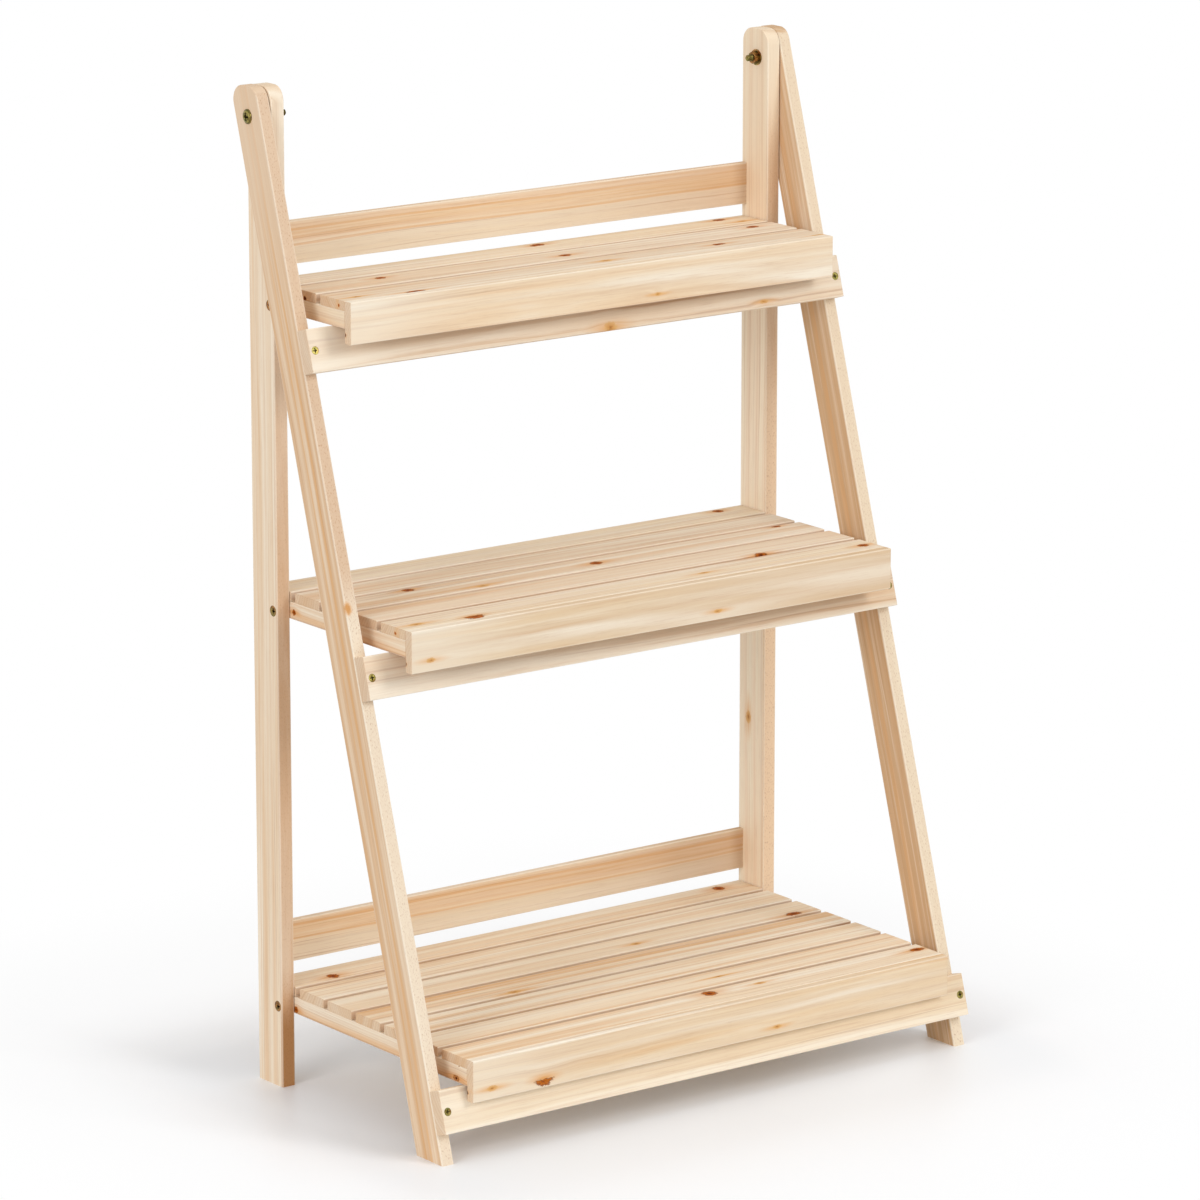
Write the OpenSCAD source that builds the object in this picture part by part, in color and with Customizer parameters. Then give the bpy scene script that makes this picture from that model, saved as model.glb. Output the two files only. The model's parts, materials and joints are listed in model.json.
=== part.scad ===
// Ladder plant stand in plain softwood: two upright posts and two back rails make the rear frame.
// A leaning front frame of two legs and three cross rails hinges on the posts at the top.
// Three slatted shelves hinge on the posts at the back and rest on the cross rails in front.
// The shelves lift and the front frame swings back, so the stand folds flat.
// Millimetres, +X right, +Y to the back, +Z up; the origin is on the floor under the middle.

/* [Overall] */
// Width across the outer faces of the two legs
stand_w = 600; // [450:1:800]
// Height of the posts
post_h = 927; // [880:1:1120]
// Radius of the round corners at the top of the posts and legs
top_r = 14; // [6:0.5:17]
// Radius of the eased long edges of every board
ease_r = 1; // [0.5:0.1:1.4]
// Chamfer on the sawn ends of the boards
end_chamfer = 0.5; // [0.2:0.1:0.9]

/* [Posts and legs] */
// Depth of a post, front to back
post_w = 38.5; // [36:0.5:50]
// Thickness of a post
post_t = 14; // [12:0.5:20]
// Width of a leg across its broad face
leg_w = 38.5; // [34:0.5:50]
// Thickness of a leg
leg_t = 12.5; // [11:0.5:20]
// Height of the top pivot below the top of the posts
pivot_drop = 27; // [24:0.5:40]
// Distance that the folded legs stand in front of the posts
folded_lead = 2.25; // [0:0.25:4]

/* [Shelves] */
// Distance of the top shelf's surface below the top of the posts
top_shelf_drop = 180; // [150:1:220]
// Distance of the middle shelf's surface below the top of the posts
middle_shelf_drop = 461; // [430:1:480]
// Height of the bottom shelf's surface
bottom_shelf_z = 93.5; // [80:0.5:130]
// Width of a slat
slat_w = 38.5; // [30:0.5:47]
// Thickness of a slat
slat_t = 9; // [7:0.5:12]
// Open gap between two slats
slat_gap = 6.5; // [4:0.1:9]
// Distance of the last slat's edge in front of the back of the posts
rear_inset = 1.2; // [0.5:0.1:5]
// Height of the side rails under the slats
side_rail_h = 16; // [13:0.5:20]
// Thickness of the side rails
side_rail_t = 18; // [16:0.5:24]
// Height of the fascia board along a shelf's front edge
fascia_h = 38.5; // [30:0.5:50]
// Thickness of the fascia board
fascia_t = 9; // [7:0.5:14]

/* [Rails] */
// Width of a cross rail, along the legs
cross_rail_w = 39.5; // [30:0.5:50]
// Thickness of a cross rail
cross_rail_t = 14; // [10:0.5:20]
// Height of a back rail
back_rail_h = 39.5; // [30:0.5:50]
// Thickness of a back rail
back_rail_t = 7; // [5:0.5:9]
// Length of a back rail's end that lies in the post's rebate
back_rail_lap = 9; // [6:0.5:10]
// Gap between the top shelf and the back rail above it
top_back_rail_lift = 11.7; // [8:0.1:30]
// Gap between the bottom shelf and the back rail above it
bottom_back_rail_lift = 13.6; // [8:0.1:30]

/* [Hardware] */
// Diameter of the two machine bolts that hinge the legs
bolt_d = 6; // [5:0.5:8]
// Diameter of the bolts' domed heads
bolt_head_d = 13.5; // [10:0.5:16]
// Height of the bolts' domed heads
bolt_head_h = 2.4; // [1.5:0.1:4]
// Length of bolt that shows past the nut
bolt_end = 5.8; // [2:0.1:10]
// Outer diameter of the washers
washer_d = 15; // [12:0.5:18]
// Thickness of the washers
washer_t = 1.2; // [0.8:0.1:2]
// Width across the flats of the hexagon nuts
nut_flats = 10; // [8:0.5:13]
// Height of the hexagon nuts
nut_h = 5; // [3:0.1:7]
// Diameter of the screws that the shelves turn on
hinge_screw_d = 5; // [4:0.1:6]
// Diameter of those screws' countersunk heads
hinge_screw_head_d = 10; // [8:0.1:12]
// Diameter of the cross rail screws
rail_screw_d = 4; // [3:0.1:5]
// Diameter of the cross rail screws' countersunk heads
rail_screw_head_d = 7.5; // [6:0.1:9]
// Length of the cross rail screws
rail_screw_len = 40; // [30:1:48]
// Diameter of the small screws under the slats and behind the back rails
slat_screw_d = 3.5; // [2.5:0.1:4]
// Diameter of those screws' countersunk heads
slat_screw_head_d = 6.8; // [5:0.1:8]
// Length of the screws through the back rails into the posts
back_screw_len = 24; // [16:1:34]
// Wood left past the end of a screw or dowel that must not come through
point_cover = 2.5; // [1.5:0.1:4]
// Least wood between a hinge screw's head and the front of its post
hinge_head_edge = 1.5; // [1:0.1:3]
// Diameter of the dowels between the side rails and the fascia
dowel_d = 6; // [4:0.5:8]
// Length of a dowel in the fascia
dowel_in_fascia = 5; // [3:0.5:6]

/* [Clearances] */
// Gap between a leg and the post beside it, taken up by a spacer washer
leg_gap = 1; // [0.6:0.1:2]
// Gap between the end of a shelf and the post beside it
shelf_gap = 0.5; // [0.3:0.1:2]
// Gap between a shelf's side rail and the cross rail that it comes down on
seat_gap = 0.2; // [0.1:0.05:0.5]
// Play between the bottom fascia's lower edge and the face of the cross rail that it hooks over
hook_play = 0.4; // [0.3:0.1:3]
// Gap between the raised shelves and the cross rails of the folded front frame
fold_gap = 0.75; // [0.5:0.05:2]
// Radial play of a bolt or screw that something turns on
running_gap = 0.08; // [0.05:0.01:0.1]
// Radial play of a bolt, screw or dowel that is fast
fast_gap = 0.03; // [0.02:0.01:0.1]
// Depth of a screw head below the face of the wood
head_sink = 0.2; // [0.1:0.05:0.5]

/* [Hidden] */
$fn = 64;

// Shelves are numbered 0 top, 1 middle, 2 bottom; slats count from the back
TOP = 0;
MIDDLE = 1;
BOTTOM = 2;
shelf_z = [post_h - top_shelf_drop, post_h - middle_shelf_drop, bottom_shelf_z];
slat_count = [3, 5, 7];
slat_pitch = slat_w + slat_gap;
function slats_depth(shelf) = slat_count[shelf] * slat_pitch - slat_gap;

// Widths, all from the overall width inwards
leg_x = stand_w / 2 - leg_t / 2;
post_outer_x = stand_w / 2 - leg_t - leg_gap;
post_inner_x = post_outer_x - post_t;
post_x = post_outer_x - post_t / 2;
shelf_w = 2 * (post_inner_x - shelf_gap);
side_rail_x = shelf_w / 2 - side_rail_t / 2;

// Distances behind the front of the posts; minus is in front of them
shelf_back = post_w - rear_inset;
back_rail_front = post_w - back_rail_t;
pivot_setback = leg_w / 2 - folded_lead;
hinge_setback = max(side_rail_h / 2 + fold_gap - folded_lead, hinge_screw_head_d / 2 + hinge_head_edge);
function fascia_back(shelf) = shelf_back - slats_depth(shelf);

// Heights
pivot_z = post_h - pivot_drop;
shelf_h = slat_t + side_rail_h;
function shelf_under_z(shelf) = shelf_z[shelf] - shelf_h;
function hinge_z(shelf) = shelf_under_z(shelf) + side_rail_h / 2;

// Lean of the front frame: the bottom fascia's lower back edge hooks over the front face of the
// bottom cross rail. That edge seen from the pivot, less the angle to the face, gives the lean.
rail_face = leg_w / 2 + cross_rail_t;
hook_fall = pivot_z - (bottom_shelf_z - fascia_h);
hook_run = pivot_setback - fascia_back(BOTTOM);
hook_far = norm([hook_run, hook_fall]);
leg_tilt = atan2(hook_run, hook_fall) - asin((rail_face + hook_play) / hook_far);

// Distance along the leg from the pivot down to the top edge of a cross rail, whose eased front
// corner sits just under the shelf's side rails. corner_fall is the height of that corner's centre.
rail_reach = rail_face - ease_r;
function corner_fall(shelf) = pivot_z - (shelf_under_z(shelf) - seat_gap - ease_r);
function rail_drop(shelf) =
    (corner_fall(shelf) + rail_reach * sin(leg_tilt)) / cos(leg_tilt) - ease_r;

// Reach in front of the posts' front: the bottom cross rail's lower corner, the bottom fascia
// and the legs' feet. Reach behind it: the posts' backs and the legs' round tops. The posts stand
// so that both are equal about the origin, to a whole step of place_step.
rail_nose = ease_r - pivot_setback + rail_reach * cos(leg_tilt)
    + (rail_drop(BOTTOM) + cross_rail_w - ease_r) * sin(leg_tilt);
fascia_nose = fascia_t - fascia_back(BOTTOM);
foot_nose = pivot_z * tan(leg_tilt) + leg_w / 2 / cos(leg_tilt) - pivot_setback;
leg_top_back = pivot_setback + (pivot_drop - top_r) * tan(leg_tilt)
    + (leg_w / 2 - top_r) / cos(leg_tilt) + top_r;
front_reach = max(rail_nose, fascia_nose, foot_nose);
back_reach = max(post_w, leg_top_back);
place_step = 0.01;
post_front_y = round((front_reach - back_reach) / 2 / place_step) * place_step;
pivot_y = post_front_y + pivot_setback;

// Lengths that follow the boards they join; a dowel stops short of the first slat screw
hinge_screw_len = post_t + shelf_gap + side_rail_t - point_cover;
slat_screw_len = shelf_h - point_cover;
dowel_in_rail = (slat_w - slat_screw_d) / 2 - point_cover;
bolt_len = leg_t + leg_gap + post_t + washer_t + nut_h + bolt_end;

WOOD = [0.92, 0.83, 0.70];
PALE_WOOD = [0.94, 0.87, 0.75];
DOWEL_WOOD = [0.85, 0.72, 0.53];
BRASS = [0.72, 0.60, 0.28];

// ---- shapes ----

// Rectangle from the origin with its corners eased
module eased_rect(w, h) {
    translate([ease_r, 0]) square([w - 2 * ease_r, h]);
    translate([0, ease_r]) square([w, h - 2 * ease_r]);
    for (x = [ease_r, w - ease_r], y = [ease_r, h - ease_r]) {
        translate([x, y]) circle(ease_r);
    }
}

// Turns a flat outline so that it stands in the YZ plane and extrudes along +X
module along_x(length) {
    rotate([90, 0, 90]) linear_extrude(length) children();
}

// Board along X, centred on it, from y = 0 and z = 0, with eased edges and chamfered ends
module board(length, depth, height) {
    c = end_chamfer;
    end = length / 2;
    point = end + height / 2 - c;
    intersection() {
        translate([-end - 1, 0, 0]) along_x(length + 2) eased_rect(depth, height);
        translate([0, 0, -1]) linear_extrude(height + 2) polygon([
            [-end, c], [-end + c + 1, -1], [end - c - 1, -1], [end, c],
            [end, depth - c], [end - c - 1, depth + 1], [-end + c + 1, depth + 1], [-end, depth - c]
        ]);
        translate([0, depth + 1, 0]) rotate([90, 0, 0]) linear_extrude(depth + 2) polygon([
            [-point, height / 2], [-end + c + 1, -1], [end - c - 1, -1],
            [point, height / 2], [end - c - 1, height + 1], [-end + c + 1, height + 1]
        ]);
    }
}

// Half of an upright's section, from its middle out to the round corner's rim
module rim_profile(thick) {
    translate([0, -thick / 2]) square([top_r - ease_r, thick]);
    translate([0, ease_r - thick / 2]) square([top_r, thick - 2 * ease_r]);
    for (side = [-1, 1]) {
        translate([top_r - ease_r, side * (thick / 2 - ease_r)]) circle(ease_r);
    }
}

// Wedge of a round corner about an X axis, from one angle to another, 0 to the back and 90 up
module corner_wedge(thick, from, to) {
    rotate([90, 0, 90]) rotate([0, 0, from]) rotate_extrude(angle = to - from) rim_profile(thick);
}

// Post or leg whose middle line passes through the origin, leaning back by tilt at the top.
// Its ends are cut level and its two top corners are round.
module upright(width, thick, tilt, top_z, floor_z) {
    mid_z = top_z - top_r;
    mid_y = mid_z * tan(tilt);
    half = (width / 2 - top_r) / cos(tilt);
    out = [cos(tilt), -sin(tilt)] * 2 * width;
    back_centre = [mid_y + half, mid_z];
    front_centre = [mid_y - half, mid_z];
    foot_y = floor_z * tan(tilt);
    bar_low = floor_z / cos(tilt) - width;
    bar_high = top_z / cos(tilt) + width;
    intersection() {
        rotate([-tilt, 0, 0]) translate([-thick / 2, -width / 2, bar_low])
            linear_extrude(bar_high - bar_low) eased_rect(thick, width);
        translate([-thick, 0, 0]) along_x(2 * thick) polygon([
            back_centre, front_centre, front_centre - out,
            [foot_y - 2 * width, floor_z], [foot_y + 2 * width, floor_z], back_centre + out
        ]);
    }
    translate([0, mid_y + half, mid_z]) {
        corner_wedge(thick, -tilt, 90);
        rotate([90, 0, 0]) linear_extrude(2 * half) rotate(90) rim_profile(thick);
    }
    translate([0, mid_y - half, mid_z]) corner_wedge(thick, 90, 180 - tilt);
}

// Countersunk shape pointing down from the origin, used for screws and, grown, for their holes
module countersunk(d, head_d, length, grow) {
    tip = d;
    cone_h = (head_d - d) / 2;
    translate([0, 0, -cone_h]) cylinder(h = cone_h, d1 = d + 2 * grow, d2 = head_d + 2 * grow);
    translate([0, 0, tip - length]) cylinder(h = length - tip - cone_h, d = d + 2 * grow);
    translate([0, 0, -length]) cylinder(h = tip, d1 = 0.4 + 2 * grow, d2 = d + 2 * grow);
}

// Cross-shaped driver recess pointing down from the origin, narrowing to its bottom
module cross_recess(head_d) {
    reach = head_d * 0.3;
    deep = head_d * 0.24;
    wing = head_d * 0.1;
    intersection() {
        translate([0, 0, -deep]) cylinder(h = deep + 1, r1 = reach * 0.45, r2 = reach * 1.25);
        for (turn = [0, 90]) {
            rotate([0, 0, turn]) translate([-reach, -wing / 2, -deep - 1])
                cube([2 * reach, wing, deep + 3]);
        }
    }
}

module wood_screw(d, head_d, length) {
    difference() {
        countersunk(d, head_d, length, 0);
        cross_recess(head_d);
    }
}

// Hole for a screw sunk head_sink below a face, with the recess above its head
module screw_hole(d, head_d, length, gap) {
    translate([0, 0, -head_sink]) countersunk(d, head_d, length, gap);
    translate([0, 0, -head_sink]) cylinder(h = head_sink + 1, d = head_d + 2 * gap);
}

module ring(outer_d, inner_d, height) {
    difference() {
        cylinder(h = height, d = outer_d);
        translate([0, 0, -1]) cylinder(h = height + 2, d = inner_d);
    }
}

// ---- places: each moves its children to where a fastener starts, pointing inwards ----

// Both sides of the stand: children are drawn on the right and mirrored to the left
module both_sides() {
    children();
    mirror([1, 0, 0]) children();
}

// Top pivot axis at distance x from the middle, with local +Z towards the middle
module at_pivot(x) {
    translate([x, pivot_y, pivot_z]) rotate([0, -90, 0]) children();
}

// Front frame: origin on the pivot, Z up along the legs
module on_legs() {
    translate([0, pivot_y, pivot_z]) rotate([-leg_tilt, 0, 0]) children();
}

// Cross rail screw at one end of a rail, side 1 right and -1 left, head to the front
module at_rail_screw(shelf, side) {
    screw_z = -rail_drop(shelf) - cross_rail_w / 2;
    on_legs() translate([side * leg_x, -leg_w / 2 - cross_rail_t, screw_z])
        rotate([90, 0, 0]) children();
}

// Hinge screw of a shelf on the right, head on the post's outer face
module at_hinge_screw(shelf) {
    translate([post_outer_x, post_front_y + hinge_setback, hinge_z(shelf)])
        rotate([0, 90, 0]) children();
}

// Screw at a right-hand end of a back rail, head to the back
module at_back_screw(rail_z) {
    translate([post_inner_x + back_rail_lap / 2, post_front_y + post_w, rail_z + back_rail_h / 2])
        rotate([-90, 0, 0]) children();
}

// Screw from below into the middle of a slat on the right
module at_slat_screw(shelf, slat) {
    translate([side_rail_x, slat_y(shelf, slat) + slat_w / 2, shelf_under_z(shelf)])
        rotate([180, 0, 0]) children();
}

// Dowel from the right-hand side rail's front end into the fascia; local +Z to the front
module at_dowel(shelf) {
    translate([side_rail_x, post_front_y + fascia_back(shelf), hinge_z(shelf)])
        rotate([90, 0, 0]) children();
}

function slat_y(shelf, slat) = post_front_y + shelf_back - slat_w - (slat - 1) * slat_pitch;
function back_rail_z(rail) =
    shelf_z[rail] + (rail == TOP ? top_back_rail_lift : bottom_back_rail_lift);

// ---- rear frame ----

module rear_post() {
    difference() {
        translate([post_x, post_front_y + post_w / 2, 0]) upright(post_w, post_t, 0, post_h, 0);
        at_pivot(post_outer_x + 1) cylinder(h = post_t + 2, d = bolt_d + 2 * fast_gap);
        for (shelf = [TOP, MIDDLE, BOTTOM]) {
            at_hinge_screw(shelf)
                screw_hole(hinge_screw_d, hinge_screw_head_d, hinge_screw_len, running_gap);
        }
        for (rail = [TOP, BOTTOM]) {
            translate([post_inner_x - 1, post_front_y + back_rail_front, back_rail_z(rail)])
                cube([back_rail_lap + 1, back_rail_t + 1, back_rail_h]);
            at_back_screw(back_rail_z(rail))
                screw_hole(slat_screw_d, slat_screw_head_d, back_screw_len, fast_gap);
        }
    }
}

module rear_post_left() {
    color(WOOD) mirror([1, 0, 0]) rear_post();
}

module rear_post_right() {
    color(WOOD) rear_post();
}

module back_rail(rail) {
    color(WOOD) difference() {
        translate([0, post_front_y + back_rail_front, back_rail_z(rail)])
            board(2 * (post_inner_x + back_rail_lap), back_rail_t, back_rail_h);
        both_sides() at_back_screw(back_rail_z(rail))
            screw_hole(slat_screw_d, slat_screw_head_d, back_screw_len, fast_gap);
    }
}

module back_rail_top() {
    back_rail(TOP);
}

module back_rail_bottom() {
    back_rail(BOTTOM);
}

module back_rail_screws() {
    color(BRASS) both_sides() for (rail = [TOP, BOTTOM]) {
        at_back_screw(back_rail_z(rail)) translate([0, 0, -head_sink])
            wood_screw(slat_screw_d, slat_screw_head_d, back_screw_len);
    }
}

// Machine bolt through leg, spacer, post, washer and nut, with a low domed head
module pivot_bolt() {
    rim = 0.6;
    rise = bolt_head_h - rim;
    dome_r = (rise * rise + bolt_head_d * bolt_head_d / 4) / (2 * rise);
    bevel = 0.8;
    cylinder(h = bolt_len - bevel, d = bolt_d);
    translate([0, 0, bolt_len - bevel]) cylinder(h = bevel, d1 = bolt_d, d2 = bolt_d - 2 * bevel);
    difference() {
        intersection() {
            translate([0, 0, -bolt_head_h]) cylinder(h = bolt_head_h, d = bolt_head_d);
            translate([0, 0, dome_r - bolt_head_h]) sphere(dome_r);
        }
        translate([0, 0, -bolt_head_h]) mirror([0, 0, 1]) cross_recess(bolt_head_d);
    }
}

module pivot_bolts() {
    color(BRASS) both_sides() at_pivot(stand_w / 2) pivot_bolt();
}

module pivot_spacers() {
    color(BRASS) both_sides() at_pivot(post_outer_x + leg_gap)
        ring(washer_d, bolt_d + 2 * fast_gap, leg_gap);
}

module pivot_washers() {
    color(BRASS) both_sides() at_pivot(post_inner_x) ring(washer_d, bolt_d + 2 * fast_gap, washer_t);
}

// Hexagon nut with its corners turned off at 30 degrees on both faces
module hex_nut() {
    corners = nut_flats / cos(30);
    bevel = (corners - nut_flats) / 2 * tan(30);
    difference() {
        intersection() {
            cylinder(h = nut_h, d = corners, $fn = 6);
            union() {
                cylinder(h = bevel, d1 = nut_flats, d2 = corners);
                translate([0, 0, bevel]) cylinder(h = nut_h - 2 * bevel, d = corners);
                translate([0, 0, nut_h - bevel]) cylinder(h = bevel, d1 = corners, d2 = nut_flats);
            }
        }
        translate([0, 0, -1]) cylinder(h = nut_h + 2, d = bolt_d + 2 * fast_gap);
    }
}

module pivot_nuts() {
    color(BRASS) both_sides() at_pivot(post_inner_x - washer_t) hex_nut();
}

// ---- front frame ----

// Leg on the right for side 1, on the left for side -1
module front_leg(side) {
    color(WOOD) difference() {
        translate([side * leg_x, pivot_y, pivot_z])
            upright(leg_w, leg_t, leg_tilt, pivot_drop, -pivot_z);
        translate([side * leg_x, pivot_y, pivot_z]) rotate([0, 90, 0])
            cylinder(h = leg_t + 2, d = bolt_d + 2 * running_gap, center = true);
        for (shelf = [TOP, MIDDLE, BOTTOM]) {
            at_rail_screw(shelf, side)
                screw_hole(rail_screw_d, rail_screw_head_d, rail_screw_len, fast_gap);
        }
    }
}

module front_leg_left() {
    front_leg(-1);
}

module front_leg_right() {
    front_leg(1);
}

module cross_rail(shelf) {
    color(PALE_WOOD) difference() {
        on_legs() translate([0, -leg_w / 2 - cross_rail_t, -rail_drop(shelf) - cross_rail_w])
            board(stand_w, cross_rail_t, cross_rail_w);
        for (side = [-1, 1]) {
            at_rail_screw(shelf, side)
                screw_hole(rail_screw_d, rail_screw_head_d, rail_screw_len, fast_gap);
        }
    }
}

module cross_rail_top() {
    cross_rail(TOP);
}

module cross_rail_middle() {
    cross_rail(MIDDLE);
}

module cross_rail_bottom() {
    cross_rail(BOTTOM);
}

module cross_rail_screws() {
    color(BRASS) for (shelf = [TOP, MIDDLE, BOTTOM], side = [-1, 1]) {
        at_rail_screw(shelf, side) translate([0, 0, -head_sink])
            wood_screw(rail_screw_d, rail_screw_head_d, rail_screw_len);
    }
}

// ---- shelves ----

module slat(shelf, number) {
    color(WOOD) difference() {
        translate([0, slat_y(shelf, number), shelf_z[shelf] - slat_t]) board(shelf_w, slat_w, slat_t);
        both_sides() at_slat_screw(shelf, number)
            screw_hole(slat_screw_d, slat_screw_head_d, slat_screw_len, fast_gap);
    }
}

// Side rail: a short board turned to run front to back
module side_rail(shelf) {
    length = slats_depth(shelf);
    color(WOOD) difference() {
        translate([side_rail_x + side_rail_t / 2, post_front_y + shelf_back - length / 2,
                shelf_under_z(shelf)])
            rotate([0, 0, 90]) board(length, side_rail_t, side_rail_h);
        at_hinge_screw(shelf)
            screw_hole(hinge_screw_d, hinge_screw_head_d, hinge_screw_len, fast_gap);
        for (number = [1 : slat_count[shelf]]) {
            at_slat_screw(shelf, number)
                screw_hole(slat_screw_d, slat_screw_head_d, slat_screw_len, fast_gap);
        }
        at_dowel(shelf) translate([0, 0, -dowel_in_rail])
            cylinder(h = dowel_in_rail + 1, d = dowel_d + 2 * fast_gap);
    }
}

module fascia(shelf) {
    color(PALE_WOOD) difference() {
        translate([0, post_front_y + fascia_back(shelf) - fascia_t, shelf_z[shelf] - fascia_h])
            board(shelf_w, fascia_t, fascia_h);
        both_sides() at_dowel(shelf) translate([0, 0, -1])
            cylinder(h = dowel_in_fascia + 1, d = dowel_d + 2 * fast_gap);
    }
}

module slat_screws(shelf) {
    color(BRASS) both_sides() for (number = [1 : slat_count[shelf]]) {
        at_slat_screw(shelf, number) translate([0, 0, -head_sink])
            wood_screw(slat_screw_d, slat_screw_head_d, slat_screw_len);
    }
}

module fascia_dowels(shelf) {
    color(DOWEL_WOOD) both_sides() at_dowel(shelf) translate([0, 0, -dowel_in_rail])
        cylinder(h = dowel_in_rail + dowel_in_fascia, d = dowel_d);
}

module hinge_screws(shelf) {
    color(BRASS) both_sides() at_hinge_screw(shelf) translate([0, 0, -head_sink])
        wood_screw(hinge_screw_d, hinge_screw_head_d, hinge_screw_len);
}

rear_post_left();
rear_post_right();
back_rail_top();
back_rail_bottom();
back_rail_screws();
pivot_bolts();
pivot_spacers();
pivot_washers();
pivot_nuts();
front_leg_left();
front_leg_right();
cross_rail_top();
cross_rail_middle();
cross_rail_bottom();
cross_rail_screws();
slat(TOP, 1);  // top_slat_1
slat(TOP, 2);  // top_slat_2
slat(TOP, 3);  // top_slat_3
mirror([1, 0, 0]) side_rail(TOP);  // top_side_rail_left
side_rail(TOP);  // top_side_rail_right
fascia(TOP);  // top_fascia
slat_screws(TOP);  // top_slat_screws
fascia_dowels(TOP);  // top_fascia_dowels
hinge_screws(TOP);  // top_hinge_screws
slat(MIDDLE, 1);  // middle_slat_1
slat(MIDDLE, 2);  // middle_slat_2
slat(MIDDLE, 3);  // middle_slat_3
slat(MIDDLE, 4);  // middle_slat_4
slat(MIDDLE, 5);  // middle_slat_5
mirror([1, 0, 0]) side_rail(MIDDLE);  // middle_side_rail_left
side_rail(MIDDLE);  // middle_side_rail_right
fascia(MIDDLE);  // middle_fascia
slat_screws(MIDDLE);  // middle_slat_screws
fascia_dowels(MIDDLE);  // middle_fascia_dowels
hinge_screws(MIDDLE);  // middle_hinge_screws
slat(BOTTOM, 1);  // bottom_slat_1
slat(BOTTOM, 2);  // bottom_slat_2
slat(BOTTOM, 3);  // bottom_slat_3
slat(BOTTOM, 4);  // bottom_slat_4
slat(BOTTOM, 5);  // bottom_slat_5
slat(BOTTOM, 6);  // bottom_slat_6
slat(BOTTOM, 7);  // bottom_slat_7
mirror([1, 0, 0]) side_rail(BOTTOM);  // bottom_side_rail_left
side_rail(BOTTOM);  // bottom_side_rail_right
fascia(BOTTOM);  // bottom_fascia
slat_screws(BOTTOM);  // bottom_slat_screws
fascia_dowels(BOTTOM);  // bottom_fascia_dowels
hinge_screws(BOTTOM);  // bottom_hinge_screws
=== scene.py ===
"""Looks of a folding plant ladder stand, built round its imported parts.

Bare softwood boards, each with its own grain and knots, on yellow zinc bolts and screws. The scene
is in metres. The wood finishes work in millimetres, in which a board's sizes are easier to read.
"""

import json
import math

import bpy
import numpy as np
from mathutils import Matrix, Vector

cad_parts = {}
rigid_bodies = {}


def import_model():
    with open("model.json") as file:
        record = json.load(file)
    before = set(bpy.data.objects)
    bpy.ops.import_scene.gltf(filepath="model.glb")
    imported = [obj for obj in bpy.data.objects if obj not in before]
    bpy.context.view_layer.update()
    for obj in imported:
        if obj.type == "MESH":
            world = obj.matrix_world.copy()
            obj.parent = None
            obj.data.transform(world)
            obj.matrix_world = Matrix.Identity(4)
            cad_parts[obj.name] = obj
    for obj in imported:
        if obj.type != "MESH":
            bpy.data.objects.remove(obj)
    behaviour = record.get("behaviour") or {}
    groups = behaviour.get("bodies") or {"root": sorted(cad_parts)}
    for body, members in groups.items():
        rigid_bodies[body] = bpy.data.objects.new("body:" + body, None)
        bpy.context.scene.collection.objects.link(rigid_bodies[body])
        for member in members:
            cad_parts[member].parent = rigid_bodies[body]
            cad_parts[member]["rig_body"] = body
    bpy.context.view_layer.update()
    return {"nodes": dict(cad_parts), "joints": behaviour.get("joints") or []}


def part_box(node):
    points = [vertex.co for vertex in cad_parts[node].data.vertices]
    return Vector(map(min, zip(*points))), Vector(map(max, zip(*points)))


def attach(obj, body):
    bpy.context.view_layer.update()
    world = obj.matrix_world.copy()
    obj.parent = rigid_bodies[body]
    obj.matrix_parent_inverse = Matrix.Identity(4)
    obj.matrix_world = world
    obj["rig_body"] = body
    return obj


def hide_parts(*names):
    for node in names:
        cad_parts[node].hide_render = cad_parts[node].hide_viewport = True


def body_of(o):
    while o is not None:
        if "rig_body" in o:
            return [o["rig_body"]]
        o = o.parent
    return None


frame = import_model()

MM = 0.001
fold = next(j for j in frame["joints"] if j["name"] == "front_frame_fold")
LEAN = math.radians(fold["range_deg"][1])
PIVOT = Vector(fold["pos_m"])


# ---- finishes: nodes written as arithmetic ----


def shade(red, green, blue):
    """A screen colour, 0 to 255, as the light it stands for."""
    share = np.array([red, green, blue]) / 255
    light = np.where(share <= 0.04045, share / 12.92, ((share + 0.055) / 1.055) ** 2.4)
    return (*light.tolist(), 1.0)


class Value:
    """What one socket gives. Arithmetic on it adds Math nodes to its finish."""

    def __init__(self, finish, socket):
        self.finish = finish
        self.socket = socket

    def __add__(self, other):
        return self.finish.math("ADD", self, other)

    def __sub__(self, other):
        return self.finish.math("SUBTRACT", self, other)

    def __rsub__(self, other):
        return self.finish.math("SUBTRACT", other, self)

    def __mul__(self, other):
        return self.finish.math("MULTIPLY", self, other)

    def __truediv__(self, other):
        return self.finish.math("DIVIDE", self, other)

    def __pow__(self, other):
        return self.finish.math("POWER", self, other)

    def __abs__(self):
        return self.finish.math("ABSOLUTE", self)

    __radd__ = __add__
    __rmul__ = __mul__


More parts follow.
